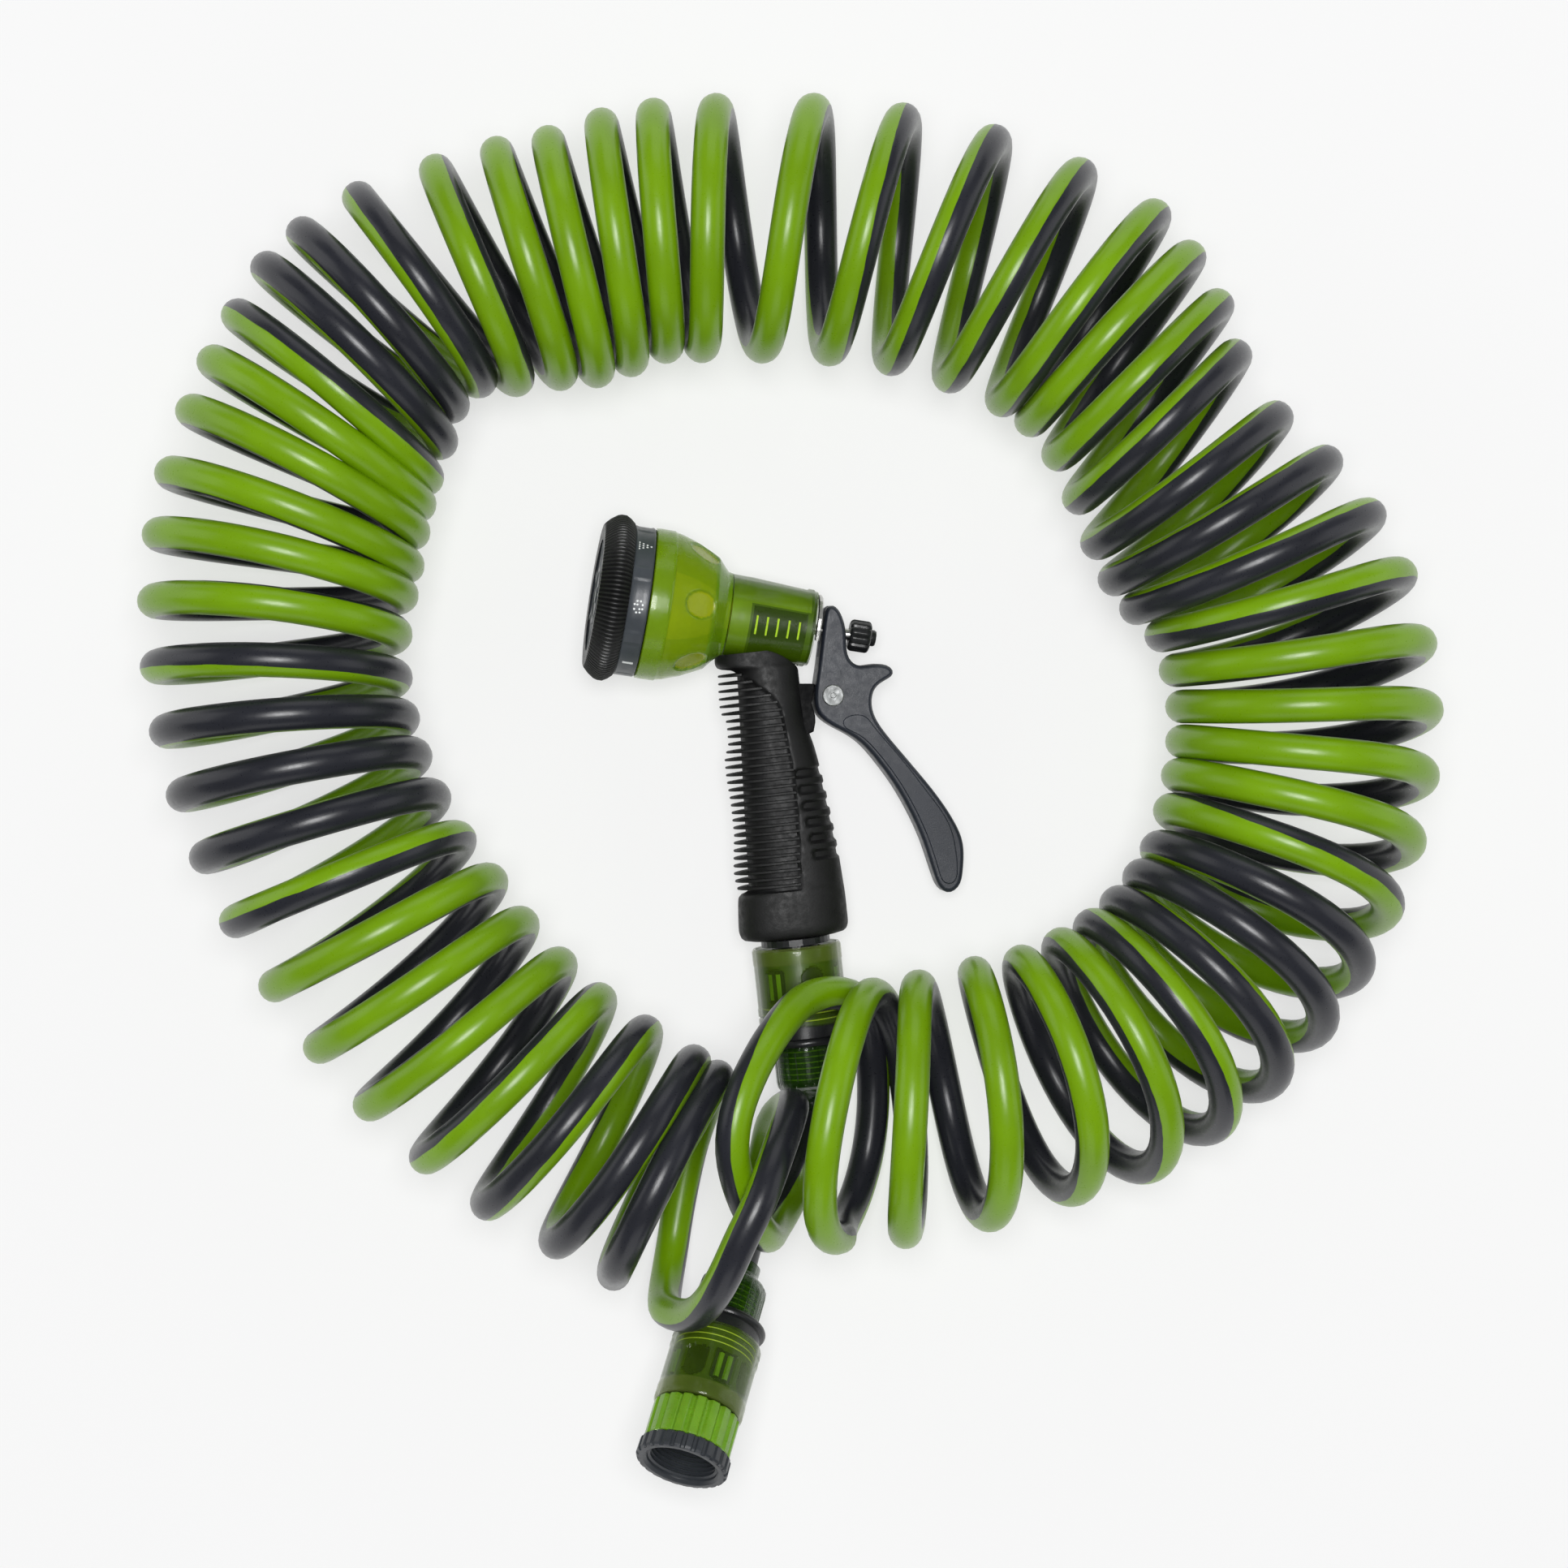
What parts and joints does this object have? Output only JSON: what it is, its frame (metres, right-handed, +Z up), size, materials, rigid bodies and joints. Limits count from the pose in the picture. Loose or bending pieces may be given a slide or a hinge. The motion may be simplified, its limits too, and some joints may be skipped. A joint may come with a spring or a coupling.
{
  "type": "spiral garden hose",
  "caption": "Self-coiling two-colour garden hose laid as a ring, with a trigger spray gun on one quick connector and a threaded tap connector on the other.",
  "frame": {"origin": "bottom centre of the whole laid-out hose, on the floor", "axes": "+Z up; the connectors end towards -Y, the gun's head points to -X"},
  "size_m": [0.4792, 0.5151, 0.1042],
  "materials": {
    "hose": "smooth soft plastic, half bright green and half dark grey along its length",
    "green_clear": "tinted see-through plastic",
    "green": "bright green moulded plastic",
    "dark": "dark grey moulded plastic",
    "rubber": "black soft grip rubber",
    "steel": "bright steel"
  },
  "bodies": {
    "hose": {"hose_coil": "hose", "hose_gun_end": "hose", "hose_tap_end": "hose", "gun_hose_nut": "green_clear", "gun_connector": "dark", "tap_hose_nut": "green_clear", "tap_connector": "dark", "tap_nipple": "green"},
    "gun": {"body_shell": "green_clear", "valve_core": "dark", "valve_spring": "steel", "wire_clip": "steel", "grip": "rubber", "trigger_bracket": "dark", "pivot_rivet": "steel", "tail_nipple": "dark"},
    "dial": {"spray_face": "dark", "bumper_ring": "rubber", "icon_collar": "dark"},
    "lever": {"trigger_lever": "dark"},
    "rod": {"valve_rod": "steel"},
    "knob": {"flow_knob": "dark"},
    "gun_release": {"gun_collar": "green_clear"},
    "tap_release": {"tap_collar": "green_clear"},
    "tap_nut": {"tap_nut": "dark"}
  },
  "joints": [
    {"name": "gun_swivel", "type": "hinge", "parent": "hose", "child": "gun", "pos_m": [0.00163, -0.05738, 0.01915], "axis": [0.1062, -0.9933, -0.0454], "continuous": true},
    {"name": "dial_turn", "type": "hinge", "parent": "gun", "child": "dial", "pos_m": [-0.068, 0.073, 0.03123], "axis": [0.9824, -0.1486, -0.1132], "continuous": true},
    {"name": "trigger_squeeze", "type": "hinge", "parent": "gun", "child": "lever", "pos_m": [0.01448, 0.03666, 0.02092], "axis": [-0.1094, 0.0337, -0.9934], "range_deg": [0, 14], "stiffness_Nm_per_rad": 0.6, "springref_deg": -20.05},
    {"name": "rod_slide", "type": "slide", "parent": "gun", "child": "rod", "axis": [0.9824, -0.1486, -0.1132], "range_m": [0, 0.0046]},
    {"name": "knob_turn", "type": "hinge", "parent": "rod", "child": "knob", "pos_m": [0.0216, 0.0595, 0.0209], "axis": [0.9824, -0.1486, -0.1132], "continuous": true},
    {"name": "gun_collar_slide", "type": "slide", "parent": "hose", "child": "gun_release", "axis": [0.1062, -0.9933, -0.0454], "range_m": [0, 0.004], "stiffness_N_per_m": 300, "springref_m": -0.002},
    {"name": "tap_collar_slide", "type": "slide", "parent": "hose", "child": "tap_release", "axis": [0.2494, 0.8007, -0.5446], "range_m": [0, 0.004], "stiffness_N_per_m": 300, "springref_m": -0.002},
    {"name": "tap_nut_turn", "type": "hinge", "parent": "hose", "child": "tap_nut", "pos_m": [-0.03494, -0.22868, 0.05233], "axis": [0.2494, 0.8007, -0.5446], "continuous": true}
  ],
  "couplings": [
    {"joint": "rod_slide", "follows": "trigger_squeeze", "m_per_rad": 0.018}
  ]
}
